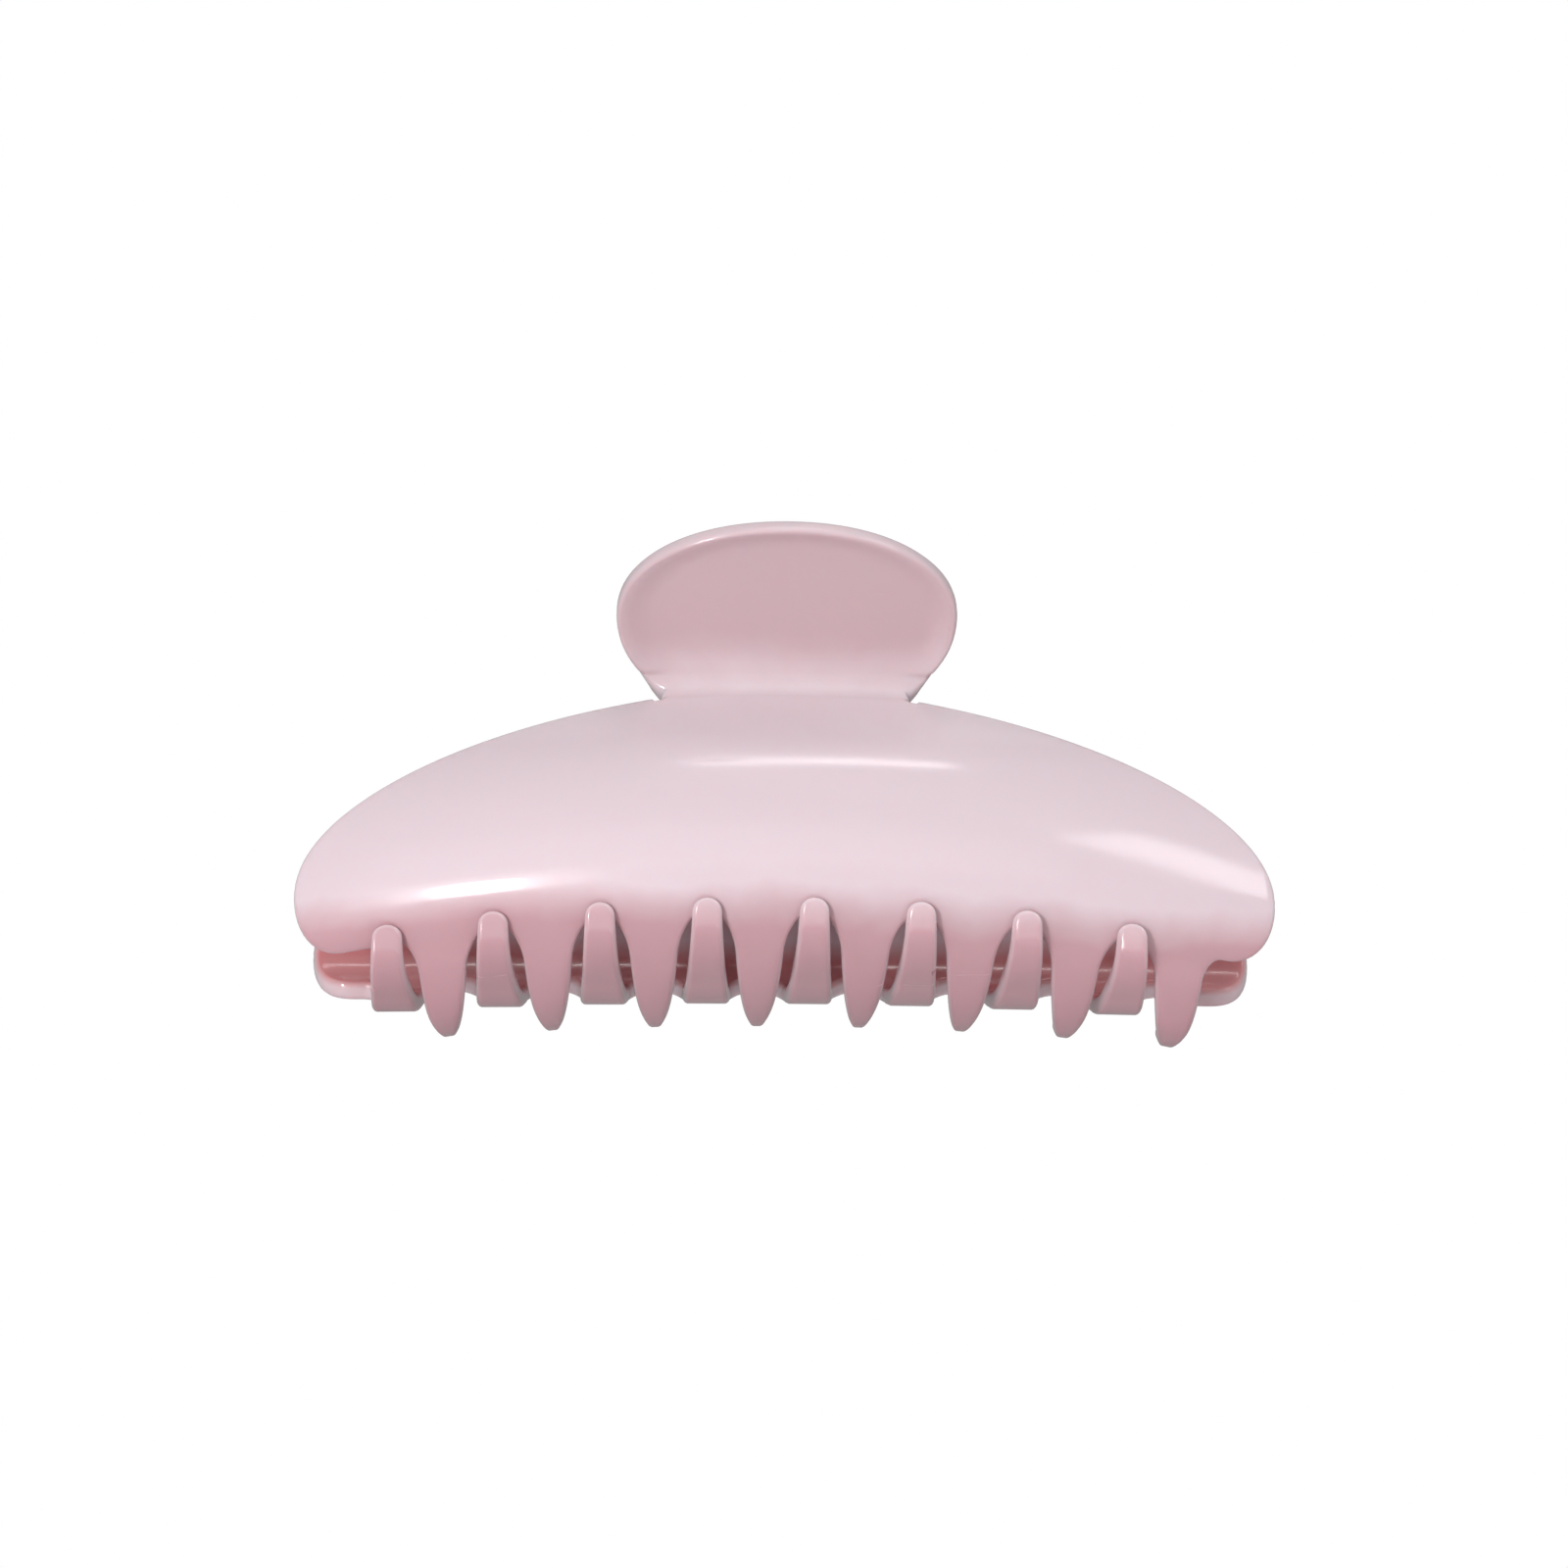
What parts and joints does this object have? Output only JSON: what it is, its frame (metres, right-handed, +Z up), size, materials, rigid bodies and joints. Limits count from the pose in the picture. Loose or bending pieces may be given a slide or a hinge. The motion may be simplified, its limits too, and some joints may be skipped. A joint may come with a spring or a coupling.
{
  "type": "claw clip",
  "caption": "Hair claw clip: two curved jaws with interlocking teeth and thumb tabs, hinged on one pin and closed by a torsion spring.",
  "frame": {"origin": "under the middle of the hinge, at the height of the lowest teeth, which is the bottom centre of the bounding box", "axes": "+X along the hinge, which is the clip's length; +Z up from the teeth to the thumb tabs; the front jaw is on -Y"},
  "size_m": [0.1094, 0.0488, 0.0517],
  "materials": {
    "pink_plastic": "glossy pale pink moulded plastic",
    "spring_steel": "drawn spring wire, plated",
    "pin_steel": "plain drawn steel rod"
  },
  "bodies": {
    "rear": {"rear_jaw": "pink_plastic", "hinge_pin": "pin_steel", "torsion_spring": "spring_steel"},
    "front": {"front_jaw": "pink_plastic"}
  },
  "joints": [
    {"name": "jaw_open", "type": "hinge", "parent": "rear", "child": "front", "pos_m": [0, 0, 0.03646], "axis": [-1, 0, 0], "range_deg": [0, 75], "stiffness_Nm_per_rad": 0.1, "springref_deg": -45.84, "deforming": ["torsion_spring"]}
  ]
}
